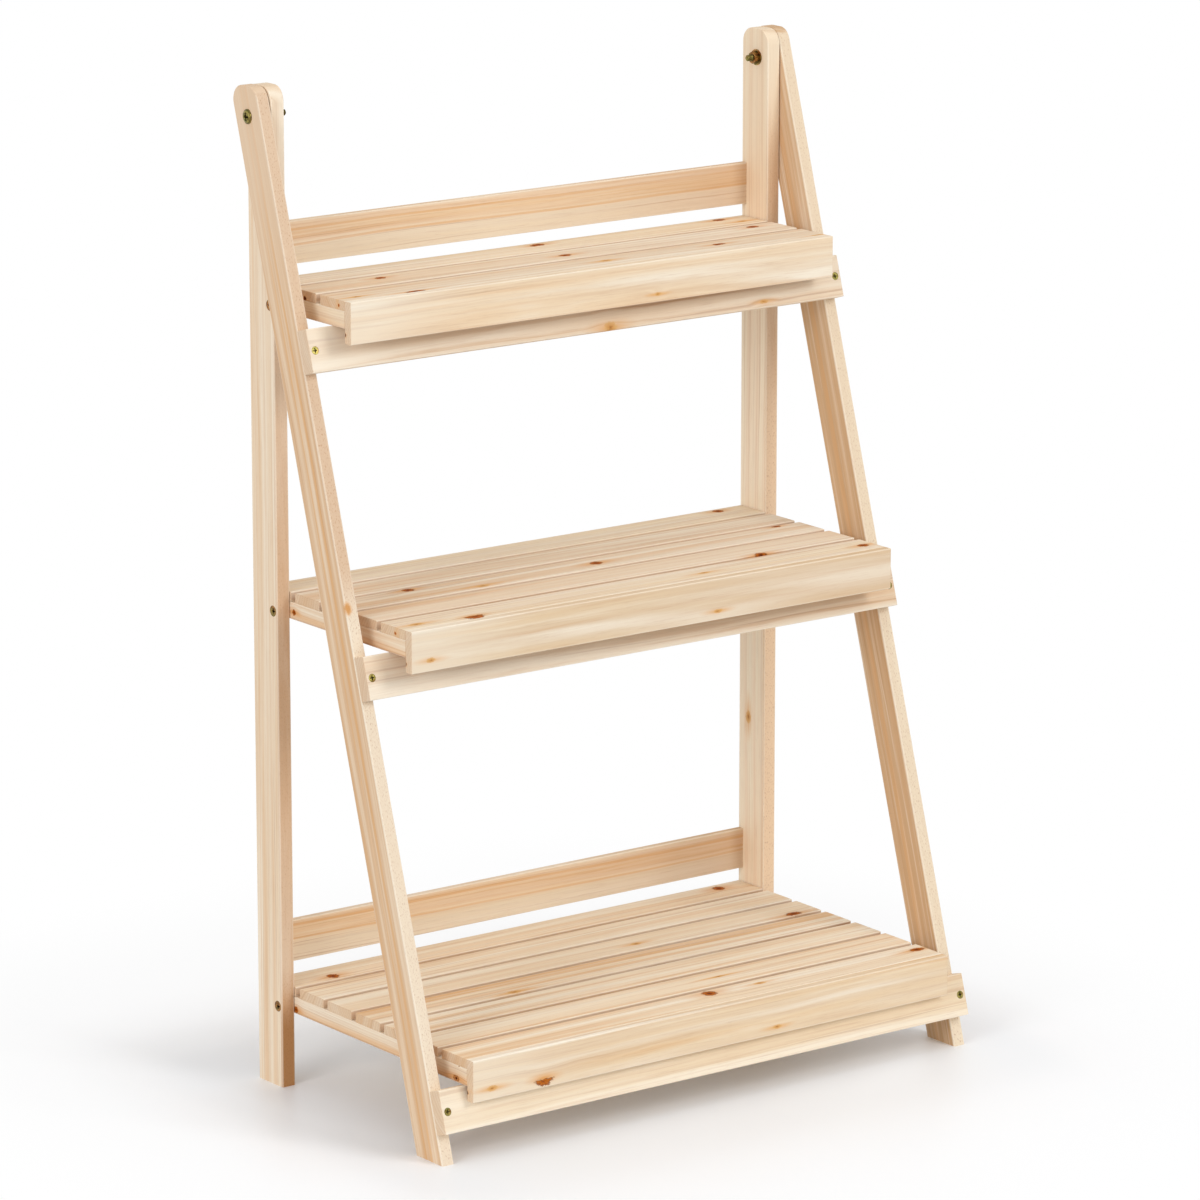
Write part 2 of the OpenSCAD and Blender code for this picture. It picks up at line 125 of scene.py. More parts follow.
class Finish:
    """A node tree, of a material or of the world, and the few ways nodes are added to it."""

    def __init__(self, owner):
        owner.use_nodes = True
        self.owner = owner
        self.tree = owner.node_tree
        self.tree.nodes.clear()

    def add(self, kind, sockets=None, out=0, **settings):
        """Adds a node: first its settings, then its sockets' values or links. Gives output out."""
        node = self.tree.nodes.new(kind)
        for key, value in settings.items():
            setattr(node, key, value)
        for key, value in (sockets or {}).items():
            if isinstance(value, Value):
                self.tree.links.new(value.socket, node.inputs[key])
            else:
                node.inputs[key].default_value = value
        return Value(self, node.outputs[out]) if len(node.outputs) else None

    def math(self, operation, *values):
        return self.add("ShaderNodeMath", dict(enumerate(values)), operation=operation)

    def least(self, one, other):
        return self.math("MINIMUM", one, other)

    def most(self, one, other):
        return self.math("MAXIMUM", one, other)

    def step(self, value, start, end):
        """0 before start, 1 after end and a smooth rise between; the other way if end is lower."""
        return self.add(
            "ShaderNodeMapRange",
            {"Value": value, "From Min": start, "From Max": end},
            interpolation_type="SMOOTHSTEP",
        )

    def ramp(self, value, stops):
        """What lies at a value of 0 to 1 between stops of grey or of colour."""
        ramped = self.add("ShaderNodeValToRGB", {0: value})
        elements = ramped.socket.node.color_ramp.elements
        while len(elements) < len(stops):
            elements.new(0.5)
        for element, (position, level) in zip(elements, stops):
            element.position = position
            element.color = level if isinstance(level, tuple) else (level, level, level, 1)
        return ramped

    def here(self):
        """Where a point is on its piece, however the piece has turned."""
        return self.add("ShaderNodeTexCoord", out="Object")

    def split(self, place):
        """A place's three coordinates."""
        return [self.add("ShaderNodeSeparateXYZ", {"Vector": place}, out=i) for i in range(3)]

    def join(self, x, y, z):
        return self.add("ShaderNodeCombineXYZ", {0: x, 1: y, 2: z})

    def noise(self, place, stretch, shift, detail=2.0, roughness=0.5):
        """Cloudy noise, 0 to 1, of a place whose coordinates are first scaled and shifted."""
        moved = self.add(
            "ShaderNodeVectorMath", {0: place, 1: stretch, 2: shift}, operation="MULTIPLY_ADD"
        )
        return self.add(
            "ShaderNodeTexNoise",
            {"Vector": moved, "Scale": 1.0, "Detail": detail, "Roughness": roughness},
            noise_dimensions="3D",
        )

    def blend(self, amount, under, over):
        """Colour under with colour over laid on it by an amount of 0 to 1."""
        sockets = {0: amount, 6: under, 7: over}
        return self.add("ShaderNodeMix", sockets, out=2, data_type="RGBA")

    def bump(self, height, strength, depth):
        """The way a surface faces once a height roughens it, where 1 is as much as the depth."""
        sockets = {"Strength": strength, "Distance": depth, "Height": height}
        return self.add("ShaderNodeBump", sockets)

    def skin(self, sockets):
        """The shader of a solid thing, from what goes into its sockets."""
        return self.add("ShaderNodeBsdfPrincipled", sockets)

    def seen_by(self, *kinds):
        """1 for a ray of one of these kinds, 0 for any other."""
        seen = 0.0
        for kind in kinds:
            ray = self.add("ShaderNodeLightPath", out=f"Is {kind} Ray")
            seen = self.most(ray, seen)
        return seen

    def surface(self, shader):
        """Closes a material with its shader, and gives the material."""
        self.add("ShaderNodeOutputMaterial", {"Surface": shader})
        return self.owner


# ---- wood ----

PALE = shade(237, 218, 193)
CREAM = shade(241, 223, 194)
PINK = shade(234, 210, 181)
MILK = shade(248, 238, 220)
LATE = shade(209, 168, 127)
AMBER = shade(223, 170, 112)
BROWN = shade(170, 114, 72)
HEART = shade(196, 144, 96)
END_WOOD = shade(212, 180, 147)
RED_PIN = shade(168, 88, 34)
KNOT_CORE = shade(92, 38, 6)
LOWER_EDGE = shade(176, 116, 70)
RAIL_MILK = shade(232, 216, 192)
RAIL_SHADE = shade(186, 138, 96)

# Each kind of knot: its colours from the core out, its stain along the grain, how many millimetres
# the rings step aside for it, how deep its rim lies and how much of the wood it covers
KNOT_KINDS = {
    "knots": dict(
        stops=[
            (0.0, KNOT_CORE),
            (0.3, shade(142, 66, 14)),
            (0.58, shade(192, 108, 38)),
            (0.8, shade(104, 46, 10)),
            (1.0, shade(218, 148, 76)),
        ],
        stain=shade(222, 158, 88),
        swell=2.2,
        rim=0.8,
        cover=1.0,
    ),
    "yellow": dict(
        stops=[
            (0.0, shade(164, 104, 52)),
            (0.35, shade(212, 156, 90)),
            (1.0, shade(230, 188, 130)),
        ],
        stain=shade(226, 166, 94),
        swell=1.2,
        rim=0.3,
        cover=0.85,
    ),
}
# How far a knot's stain reaches along and across, in sizes of the knot
STAIN_LONG, STAIN_WIDE = 5, 1.8

# How dark a ring is, from its early wood to its late wood and back
RING_STOPS = [(0.0, 0.0), (0.3, 0.06), (0.62, 0.3), (0.86, 1.0), (0.95, 0.75), (1.0, 0.0)]

# The way a board's grain runs, the way across its broad face, and out through that face
ALONG_LEG = Vector((0, math.sin(LEAN), math.cos(LEAN)))
OUT_OF_LEG = Vector((0, -math.cos(LEAN), math.sin(LEAN)))
X, Y, Z = Vector((1, 0, 0)), Vector((0, 1, 0)), Vector((0, 0, 1))
WAYS = {
    "slat": (X, Y, Z),
    "fascia": (X, Z, -Y),
    "back_rail": (X, Z, -Y),
    "side_rail": (Y, Z, X),
    "post": (Z, Y, -X),
    "cross_rail": (X, ALONG_LEG, OUT_OF_LEG),
    "leg": (ALONG_LEG, -OUT_OF_LEG, -X),
}
# Half of each board's width and thickness, in millimetres
HALF = {
    "slat": (19.25, 4.5),
    "fascia": (19.25, 4.5),
    "back_rail": (19.75, 3.5),
    "side_rail": (8.0, 9.0),
    "post": (19.25, 7.0),
    "cross_rail": (19.75, 7.0),
    "leg": (19.25, 6.25),
}


# Clouds of noise that lie along the rings: their length and width in millimetres, how far they are
# shifted, their detail and their roughness
FLOW = (620, 10.5, (3, 9, 1), 2, 0.45)
VEINS = (260, 3.8, (6, 1, 3), 4, 0.62)
LINES = (420, 1.5, (2, 4, 6), 1, 0.5)


class Pine(Finish):
    """Solid softwood for one board, worked out from its place in the log.

    A point lies so many millimetres from the board's middle along its grain, across its broad face
    and out through that face.
    """

    def __init__(self, name, kind, centre, half_length, look):
        super().__init__(bpy.data.materials.new(name))
        self.kind, self.half_length, self.look, self.seed = kind, half_length, look, look["seed"]
        turn = Matrix(WAYS[kind]).transposed().to_euler("XYZ")
        self.place = self.add(
            "ShaderNodeMapping",
            {"Vector": self.here(), "Location": centre, "Rotation": turn, "Scale": (MM, MM, MM)},
            vector_type="TEXTURE",
        )
        self.along, self.across, self.through = self.split(self.place)
        self.ragged = self.noise(self.place, (0.28, 0.55, 0.2), (self.seed, 3, 1), 2.5, 0.6)
        self.knots = self.nearest_knots()

    def nearest_knots(self):
        """Three distances from the nearest knot of each kind the board has, in sizes of the knot.

        The first is from its core, which a cut knot has on one side only, the second from its
        stain, which reaches further along the grain, and the third from the knot as it grew.
        """
        nearest = {}
        for tone in KNOT_KINDS:
            for at, off, long, wide, *cut in self.look[tone]:
                run, rise = (self.along - at) / long, (self.across - off) / wide
                core = grown = (run * run + rise * rise) ** 0.5
                stain = ((run / STAIN_LONG) ** 2 + (rise / STAIN_WIDE) ** 2) ** 0.5
                if cut:
                    stain = stain * 2
                    core = self.most(core, (rise - cut[0]) * 2.2 + 1)
                found = (core, stain, grown)
                if tone in nearest:
                    found = [self.least(*pair) for pair in zip(nearest[tone], found)]
                nearest[tone] = found
        return nearest

    def grow(self):
        """Rings, as tubes about the log's heart, which lies look["log"] from the board's middle.

        Their radius is the distance from that line plus a slow wander, and swells round each knot,
        so the lines part and close again. The late wood of each ring is the ramp of the radius
        over the ring's width, less its whole part. It is stronger in some rings than in others.
        """
        look, seed = self.look, self.seed
        wander = self.noise(self.place, (1 / 420, 1 / 70, 1 / 70), (seed, 0, 5), 1.5)
        fine = self.noise(self.place, (1 / 60, 1 / 5, 1 / 5), (0, seed, 9), 2)
        heart_across, heart_through = look["log"]
        slope = look["slope"]
        side = self.across - heart_across + self.along * slope + (wander - 0.5) * look["wander"]
        deep = self.through - heart_through + self.along * (slope * 0.6)
        self.radius = (side * side + deep * deep) ** 0.5 + fine * 1.1
        for tone, (_, _, grown) in self.knots.items():
            swell = KNOT_KINDS[tone]["swell"] * look["swell"]
            self.radius = self.radius + self.step(grown, 4.2, 0.4) * swell
        turns = self.radius / look["ring"]
        years = self.join(self.along * (1 / 700), turns, seed)
        self.strength = self.noise(years, (1, 0.8, 1), (0, 0, 0), 1)
        self.late = self.ramp(self.math("FRACT", turns), RING_STOPS)
        self.grain = self.late * self.step(self.strength, 0.38, 0.72)

    def clouds(self, length, width, shift, detail, roughness):
        """Noise in clouds of about this length and width that lie along the rings."""
        where = self.join(self.along * (1 / length), self.radius * (1 / width), self.seed)
        return self.noise(where, (1, 1, 1), shift, detail, roughness)

    def lay(self, amount, tone):
        """Lays a tone over the colour so far, by an amount of 0 to 1."""
        self.colour = self.blend(amount, self.colour, tone)

    def lay_grain(self):
        """Broad streaks, veins, late wood and lines that follow the rings, and short fibres."""
        look = self.look
        self.flow = flow = self.clouds(*FLOW)
        self.veins = veins = self.clouds(*VEINS)
        self.colour = self.blend(self.step(flow, 0.38, 0.62), look["pale"], look["tint"])
        self.lay(self.step(flow, 0.48, 0.34) * look["milk"], MILK)
        self.lay(self.step(flow, 0.56, 0.7) * look["streak"], AMBER)
        self.lay(self.step(veins, 0.5, 0.3) * (look["veins"] * 0.8), MILK)
        self.lay(self.step(veins, 0.5, 0.72) * look["veins"], LATE)
        self.lay(self.grain * look["contrast"], LATE)
        for middle, half, amount, *tone in look["bands"]:
            band = self.step(abs(self.radius - middle), half * 1.35, half * 0.6)
            self.lay(band * (veins * 1.3 + 0.1) * amount, tone[0] if tone else AMBER)
        thin = self.step(self.clouds(*LINES), 0.6, 0.72) * self.step(self.strength, 0.36, 0.6)
        self.lay(thin * look["lines"], BROWN)
        self.fibre = self.noise(self.place, (1 / 38, 1.0, 1.0), (self.seed, 8, 0), 3, 0.65)
        self.lay(self.step(self.fibre, 0.5, 0.8) * 0.22, BROWN)
        hair = self.noise(self.place, (1 / 10, 2.4, 2.4), (5, 5, self.seed), 1)
        self.lay(self.step(hair, 0.64, 0.78) * 0.14, BROWN)

    def lay_washes(self):
        """Tones that come over the board along its length."""
        for amount, full, none, tone in self.look["washes"]:
            self.lay(self.step(self.along, none, full) * amount, tone)

    def lay_edges(self):
        """Heart wood and specks on the narrow front edge, sawn ends, painted shade and highlight.

        The front edge is the one that across counts away from. Slats' sides are darker, as painted
        shade in the gaps between slats, eased edges paler, as a painted highlight, and sawn ends
        darker with the rings and with open pores.
        """
        half_across, half_through = HALF[self.kind]
        across, through = abs(self.across), abs(self.through)
        for amount, full, none, *tone in self.look["edge"]:
            front = self.step(-1 * self.across, half_across - 2.5, half_across - 0.7)
            front = front * self.step(self.along, none, full)
            front = self.least(front * (self.flow * 0.8 + self.veins * 0.7) * amount, 1.0)
            self.lay(front, tone[0] if tone else HEART)
            specks = self.noise(self.place, (0.42, 1.5, 1.3), (self.seed, 2, 2), 1)
            self.lay(front * self.step(specks, 0.56, 0.7) * 0.42, BROWN)
        # Painted shade: the slats' sides are darkened for the shade in the gaps between them
        if self.kind == "slat":
            side = self.step(half_across - across, 0.5, 0.1)
            side = side * self.step(through, half_through, half_through - 1.2)
            self.lay(side * 0.4, BROWN)
        # Painted highlight: the eased edges are laid paler, as if they caught the light
        to_edge = (half_across - across) + (half_through - through)
        self.lay(self.step(to_edge, 1.8, 0.5) * 0.42, MILK)
        if self.half_length:
            end = self.step(abs(self.along), self.half_length - 0.6, self.half_length - 0.3)
            self.lay(end * (0.55 + 0.25 * self.late), END_WOOD)
            pores = self.noise(self.place, (0.4, 1.6, 1.6), (self.seed, 1, 1), 1)
            self.lay(end * self.step(pores, 0.5, 0.75) * 0.25, BROWN)

    def lay_knots(self):
        """Knots, the yellow ones first: a stain along the grain, then a core with a ragged rim."""
        self.relief = self.grain * 0.5 + self.fibre * 0.5
        for tone in reversed(self.knots):
            core, stain, _ = self.knots[tone]
            sort = KNOT_KINDS[tone]
            gone = core + (self.ragged - 0.5) * 1.1
            trail = (1 - self.least(stain, 1.0)) ** 1.4
            trail = trail * (self.flow * 0.6 + self.veins * 1.4 - 0.1)
            self.lay(self.least(trail, 0.9), sort["stain"])
            filled = self.step(gone, 1.15, 0.8) * (0.8 + 0.4 * self.ragged) * sort["cover"]
            self.lay(filled, self.ramp(gone * 0.85, sort["stops"]))
            self.relief = self.relief - self.step(abs(gone - 0.85), 0.25, 0.05) * sort["rim"]

    def lay_pins(self):
        """Small dark pins, which show on one face only."""
        for at, off, deep_at, size, *tone in self.look["pins"]:
            run, rise, sink = self.along - at, self.across - off, self.through - deep_at
            gone = (run * run * 0.5 + rise * rise + sink * sink) ** 0.5 / size
            gone = gone + (self.ragged - 0.5)
            self.lay(self.step(gone, 1.5, 0.8) * 0.6, AMBER)
            self.lay(self.step(gone, 1.0, 0.5), tone[0] if tone else KNOT_CORE)

    def finished(self):
        """The board's material. Bare wood hardly mirrors the white room."""
        self.grow()
        self.lay_grain()
        self.lay_washes()
        self.lay_edges()
        self.lay_knots()
        self.lay_pins()
        sockets = {
            "Base Color": self.colour,
            "Roughness": 0.6 + self.fibre * 0.16 - self.grain * 0.08,
            "Normal": self.bump(self.relief, 0.35, 0.0002),
            "Specular IOR Level": 0.04,
        }
        return self.surface(self.skin(sockets))


def board_look(seed, known):
    """A board's looks: drawn at random from its own seed, then changed to what is known of it."""
    chance = np.random.default_rng(seed)

    def draw(low, high):
        return float(chance.uniform(low, high))

    drawn = {
        "seed": float(seed),
        "log": (draw(35, 95) * float(chance.choice([-1, 1])), draw(15, 55)),
        "slope": draw(-0.006, 0.006),
        "wander": draw(7, 14),
        "ring": draw(2.4, 3.8),
        "contrast": draw(0.3, 0.5),
        "veins": draw(0.35, 0.6),
        "milk": draw(0.3, 0.6),
        "streak": draw(0.15, 0.42),
        "lines": draw(0.25, 0.45),
        "pale": PALE,
        "tint": PINK if chance.uniform() < 0.6 else CREAM,
        "swell": 1.0,
        "bands": [],
        "washes": [],
        "edge": [],
        "knots": [],
        "yellow": [],
        "pins": [],
    }
    return {**drawn, **known}


# What all boards whose names hold a word have in common
SHARED = {
    "fascia": dict(milk=1.0, contrast=0.24, veins=0.45, lines=0.3, pins=[(-272, -11, -4.5, 2.2)]),
    # The bottom slats' tones are lighter: painted light against the shade under the middle shelf
    "bottom_slat": dict(pale=shade(245, 228, 202), tint=shade(241, 218, 187)),
}

# What is known of each board from the picture, in millimetres from its middle, or from the pivot
# bolt for a leg:
# - log: where the log's heart lies, across and through
# - ring, wander, slope: a ring's width, how far the rings wander, and their drift along the board
# - pale, tint: the two tones of the wood; milk, streak, veins, contrast, lines: how much of the
#   milky and amber streaks, the veins, the late wood and the fine brown lines there is
# - bands: streaks of one age of the log: radius, half width, amount, and tone if not amber
# - washes: a tone over the board: amount, where along it is full, where it is gone, tone
# - edge: the same on the narrow edge that faces the front, its tone heart wood if none is given
# - knots, yellow: along, across, half length, half width, and for a knot that is cut off, how many
#   half widths across from its middle it ends; swell: how far the rings step aside for them
# - pins: along, across, through, size, and tone if not the core of a knot
KNOWN = {
    "rear_post_left": dict(
        log=(-60, 8),
        tint=PINK,
        contrast=0.25,
        bands=[(73, 1.2, 0.3)],
        edge=[(0.66, 120, 330), (1.8, -420, -340)],
    ),
    "rear_post_right": dict(
        log=(62, -12),
        # Its tones are lighter: partly its own paler wood, partly painted light on its shaded
        # inner face
        pale=shade(253, 240, 216),
        tint=shade(250, 231, 206),
        milk=0.3,
        streak=0.1,
        veins=0.3,
        contrast=0.25,
        # Darker above the top shelf: painted shade of the shelf and of the leg beside it
        washes=[(0.5, 330, 220, shade(226, 200, 168))],
        # Heart tone on the front edge below its top: painted shade of the leg beside it; lighter
        # low down
        edge=[(0.6, 330, 420), (1.0, 60, 180, shade(244, 214, 180))],
        yellow=[(-204, 5, 6, 4)],
    ),
    "front_leg_left": dict(
        log=(75, 18),
        pale=shade(225, 194, 160),
        tint=shade(218, 183, 147),
        milk=0.25,
        veins=0.34,
        contrast=0.24,
        bands=[(80, 1.6, 0.6), (72, 1, 0.5)],
        washes=[(0.5, -20, -220, shade(230, 208, 183))],
        edge=[(1.05, 100, 200, shade(240, 226, 204)), (0.55, -400, -470)],
        pins=[(-445, -19.2, 4, 3.6, shade(212, 156, 98))],
    ),
    "front_leg_right": dict(
        log=(-70, 20),
        pale=shade(214, 180, 143),
        tint=shade(206, 170, 132),
        milk=0.2,
        bands=[(76, 3, 0.4)],
        edge=[(1.05, 100, 200, shade(236, 219, 193))],
    ),
    "back_rail_top": dict(
        log=(-60, 14),
        tint=CREAM,
        streak=0.3,
        contrast=0.45,
        bands=[(50, 11, 0.9, RAIL_MILK), (72, 9, 0.5), (61, 1.2, 0.7), (74, 1.0, 0.6)],
        washes=[(0.36, 290, -20, RAIL_SHADE)],
    ),
    "back_rail_bottom": dict(
        log=(-90, 22),
        tint=CREAM,
        streak=0.3,
        bands=[(80, 11, 0.9, RAIL_MILK), (101, 9, 0.5), (92, 1.0, 0.6), (105, 1.2, 0.6)],
        washes=[(0.36, 290, 10, RAIL_SHADE)],
    ),
    "cross_rail_top": dict(
        log=(20, 70),
        tint=PINK,
        veins=0.4,
        washes=[(0.5, -280, -180, MILK)],
        yellow=[(28, -17.5, 7, 5.5), (206, -14, 5, 2)],
    ),
    "cross_rail_middle": dict(
        log=(-40, 60), tint=PINK, veins=0.4, washes=[(0.25, -280, -180, MILK)]
    ),
    "cross_rail_bottom": dict(
        log=(30, 55),
        pale=shade(238, 219, 190),
        tint=shade(236, 214, 182),
        streak=0.4,
        veins=0.4,
        washes=[(0.25, -280, -180, MILK)],
    ),
    "top_fascia": dict(
        log=(-26, 62),
        wander=16,
        pale=shade(236, 217, 191),
        tint=shade(238, 214, 182),
        streak=0.35,
        washes=[(0.5, -270, -120, MILK)],
        edge=[(0.6, -150, -200, shade(222, 172, 118))],
        yellow=[(68, -12, 4, 1.6)],
    ),
    "middle_fascia": dict(
        log=(-24, 58),
        wander=15,
        pale=shade(224, 201, 172),
        tint=shade(228, 202, 166),
        streak=0.5,
        washes=[(0.5, -270, -120, MILK), (0.35, 250, -80, shade(216, 184, 148))],
        yellow=[(-251, -9, 5, 2.4), (69, -11, 5, 2)],
        swell=0.3,
    ),
    "bottom_fascia": dict(
        log=(-28, 60),
        wander=15,
        pale=shade(229, 207, 179),
        tint=shade(232, 206, 170),
        streak=0.5,
        washes=[(0.4, -270, -120, MILK)],
        knots=[(-194, -10.5, 10, 7.5, -0.1)],
        yellow=[(-251, -9, 6, 2.6), (70, -12, 5, 2)],
        swell=0.3,
    ),
    "top_slat_1": dict(
        knots=[(26, 9.4, 6, 4.8), (20, 8, 4, 3.7), (238, 11, 6.5, 4.3)],
        yellow=[(252, -7, 6, 3.4)],
    ),
    "top_slat_2": dict(
        streak=0.6,
        knots=[(-184, 7.3, 5.5, 4.1), (15, -2.6, 6.5, 4.3), (241, 9, 6.5, 4.1)],
        pins=[(-272, -2, -2.5, 2.6)],
    ),
    "top_slat_3": dict(
        knots=[(-195, -18, 10, 2.9), (161, 2.4, 7, 3.6)],
        yellow=[(29, -1, 7, 3.8), (-252, -8, 7, 2.8), (264, -15, 8, 1.8)],
        pins=[(-272, -10.2, -0.5, 1.8, RED_PIN)],
    ),
    "middle_slat_1": dict(knots=[(238, 10.6, 5, 5.3)]),
    "middle_slat_3": dict(
        log=(48, 20),
        streak=0.5,
        bands=[(52, 5, 0.3)],
        knots=[(-183, 14, 6, 5.0), (17, -2.2, 6.5, 5.3), (242, 17, 5, 4.1)],
        yellow=[(-119, -13, 7, 3.9)],
    ),
    "middle_slat_4": dict(knots=[(161, -19, 6.5, 4.4)]),
    "middle_slat_5": dict(
        knots=[(-193, -11, 10, 10.9, 0.1), (259, -3, 6, 4.7)],
        yellow=[(-251, -6, 8, 3.9), (73, -2, 7, 2.6)],
        pins=[(-272, -3.7, -1.2, 1.9, RED_PIN)],
    ),
    "bottom_slat_1": dict(knots=[(-224, -9.8, 6, 6.2), (238, 7, 6, 6.2)]),
    "bottom_slat_3": dict(knots=[(242, -14, 9, 4.8)], yellow=[(62, -4, 6, 3.4)]),
    "bottom_slat_4": dict(
        log=(80, 18),
        streak=0.4,
        lines=0.6,
        bands=[(70, 6, 0.8), (86, 3, 0.6)],
        yellow=[(-119, -15, 8, 3.9)],
    ),
    "bottom_slat_6": dict(streak=0.4, yellow=[(60, 2, 9, 2.1)]),
    "bottom_slat_7": dict(
        streak=0.45, knots=[(21, 10, 7, 6.8), (261, 4.6, 8, 4.7)], yellow=[(78, 8, 7, 3)]
    ),
    "top_side_rail_left": dict(
        log=(40, 0), bands=[(50, 5, 0.5)], edge=[(0.6, -500, -600, shade(184, 128, 82))]
    ),
    "middle_side_rail_left": dict(
        log=(40, 0),
        bands=[(49, 6, 0.6)],
        edge=[(1, -500, -600, LOWER_EDGE)],
        knots=[(66, -1, 3, 3)],
    ),
    "bottom_side_rail_left": dict(
        log=(40, 0),
        bands=[(49, 6, 0.6)],
        edge=[(1, -500, -600, LOWER_EDGE)],
        knots=[(115, -4, 3.6, 3), (-138, -4.3, 4.4, 2.8)],
        pins=[(-138, -4.3, -9, 1.8), (-142, 7.8, -9, 0.7)],
    ),
}


def board_kind(node):
    """Which kind of board a node is, or None for a screw, bolt, washer, nut or dowel."""
    if node.endswith(("screws", "dowels")):
        return None
    return next((kind for kind in WAYS if kind in node), None)


def dress_boards():
    """Gives every wooden board of the frame its own pine."""
    boards = [node for node in sorted(frame["nodes"]) if board_kind(node)]
    for number, node in enumerate(boards, 1):
        kind = board_kind(node)
        lo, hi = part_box(node)
        centre = (lo + hi) / 2
        half_length = 0.0
        if kind == "leg":
            centre = Vector((centre.x, PIVOT.y, PIVOT.z))
        elif kind in ("slat", "fascia", "cross_rail", "back_rail"):
            half_length = (hi.x - lo.x) / 2 / MM
        elif kind == "side_rail":
            half_length = (hi.y - lo.y) / 2 / MM
        known = {}
        for word, shared in SHARED.items():
            if word in node:
                known.update(shared)
        known.update(KNOWN.get(node, {}))
        board = Pine("pine_" + node, kind, centre, half_length, board_look(number, known))
        materials = frame["nodes"][node].data.materials
        materials.clear()
        materials.append(board.finished())


# ---- metal and dowels ----

ZINC_GREEN = shade(124, 132, 68)
ZINC_RED = shade(150, 90, 56)
# The tone of the painted shade on the zinc
ZINC_PAINTED_SHADE = shade(44, 30, 16)
# How far from the pivots' line the painted shade rings on nuts and washers lie, in millimetres
PAINTED_SHADE_RIMS = (3.3, 5.9)


def yellow_zinc(name, bright, dull):
    """Zinc plate with a yellow passivate: cloudy, between a bright and a dull tone.

    It is darkened with painted shade where the points' attribute from cut_fasteners says so, in
    drivers' recesses, in threads and round heads' rims, and in painted dark rings on the rims of
    the pivots' nuts and washers.
    """
    zinc = Finish(bpy.data.materials.new(name))
    place = zinc.here()
    cloud = zinc.noise(place, (300, 300, 300), (1, 2, 3), 2)
    tint = zinc.noise(place, (190, 190, 190), (7, 5, 3), 1)
    scuff = zinc.noise(place, (2600, 900, 2600), (0, 4, 8), 2)
    recess_and_painted_shade = zinc.add("ShaderNodeAttribute", out="Fac", attribute_name="recess_and_painted_shade")
    _, y, z = zinc.split(place)
    out = ((y - PIVOT.y) ** 2 + (z - PIVOT.z) ** 2) ** 0.5 / MM
    colour = zinc.blend(zinc.step(cloud, 0.3, 0.72), bright, dull)
    colour = zinc.blend(zinc.step(tint, 0.45, 0.7) * 0.5, colour, ZINC_GREEN)
    colour = zinc.blend(zinc.step(tint, 0.42, 0.3) * 0.35, colour, ZINC_RED)
    # Painted shade: dark rings on the nuts' and washers' rims, then the recesses and threads
    for rim in PAINTED_SHADE_RIMS:
        colour = zinc.blend(zinc.step(abs(out - rim), 0.55, 0.25) * 0.7, colour, ZINC_PAINTED_SHADE)
    colour = zinc.blend(recess_and_painted_shade * 0.85, colour, ZINC_PAINTED_SHADE)
    sockets = {
        "Base Color": colour,
        "Metallic": 0.95,
        "Roughness": 0.2 + scuff * 0.18,
        "Normal": zinc.bump(scuff, 0.2, 0.00003),
    }
    return zinc.surface(zinc.skin(sockets))


def dowel_beech():
    """Turned beech: pink-tan with short dark flecks along the dowel."""
    beech = Finish(bpy.data.materials.new("dowel_beech"))
    place = beech.here()
    fleck = beech.noise(place, (1500, 160, 1500), (3, 1, 2), 2)
    cloud = beech.noise(place, (90, 60, 90), (2, 2, 2), 2)
    colour = beech.blend(cloud, shade(214, 176, 134), shade(198, 156, 116))
    colour = beech.blend(beech.step(fleck, 0.58, 0.7) * 0.6, colour, shade(140, 94, 62))
    sockets = {
        "Base Color": colour,
        "Roughness": 0.55 + fleck * 0.1,
        "Normal": beech.bump(fleck, 0.3, 0.0001),
    }
    return beech.surface(beech.skin(sockets))


def solid(name, points, faces):
    """A mesh object from an array of points and a list of faces' corner numbers."""
    mesh = bpy.data.meshes.new(name)
    mesh.from_pydata(points.tolist(), [], faces)
    mesh.validate()
    mesh.update()
    piece = bpy.data.objects.new(name, mesh)
    bpy.context.scene.collection.objects.link(piece)
    return piece


def closed_lathe(rows, columns):
    """Faces of a lathed shape: a pole, rows of as many points as columns, and another pole."""
    turn = np.arange(columns)
    after = (turn + 1) % columns
    start = 1 + np.arange(rows - 1)[:, None] * columns
    below = start + columns
    quads = np.stack([start + turn, start + after, below + after, below + turn], -1)
    last = 1 + (rows - 1) * columns
    first_cap = np.stack([np.zeros_like(turn), 1 + after, 1 + turn], -1)
    last_cap = np.stack([np.full_like(turn, last + columns), last + turn, last + after], -1)
    return quads.reshape(-1, 4), np.concatenate([first_cap, last_cap])


